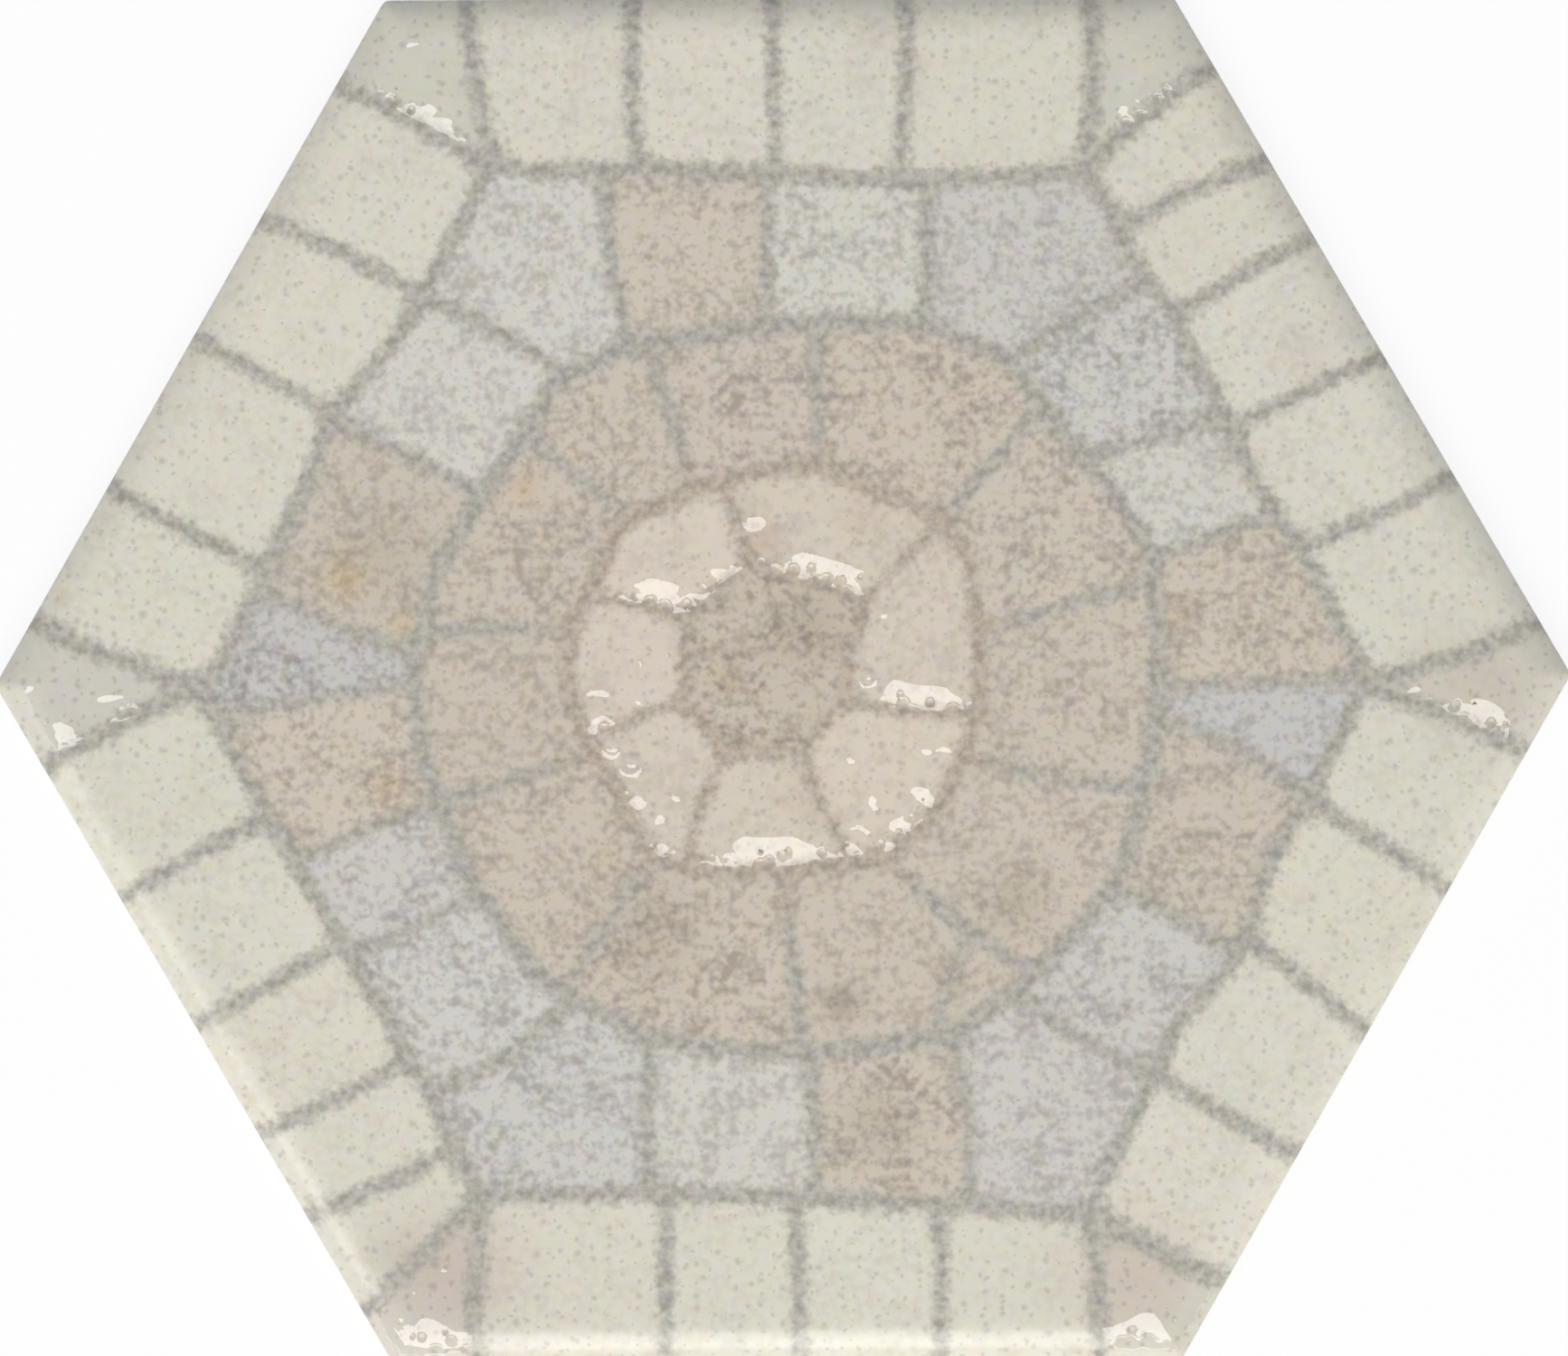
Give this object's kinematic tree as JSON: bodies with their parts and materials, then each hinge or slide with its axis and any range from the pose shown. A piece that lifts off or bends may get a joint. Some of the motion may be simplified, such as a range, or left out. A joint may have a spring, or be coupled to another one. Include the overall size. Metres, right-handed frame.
{
  "type": "hexagonal decorative wall tile",
  "caption": "Hexagonal glazed wall tile with a printed stone-paving rosette, raised clear glaze on some of its stones, cushioned edges and a ribbed back for adhesive.",
  "frame": {"origin": "middle of the back, on the plane of the ribs that the tile lies on", "axes": "+Z out of the glazed face, +X from corner to corner, +Y across the flats"},
  "size_m": [0.2306, 0.2, 0.0082],
  "materials": {
    "glazed_tile": "satin glaze printed with cream, grey and beige stones"
  },
  "bodies": {
    "root": {"hexagonal_tile": "glazed_tile"}
  },
  "joints": []
}
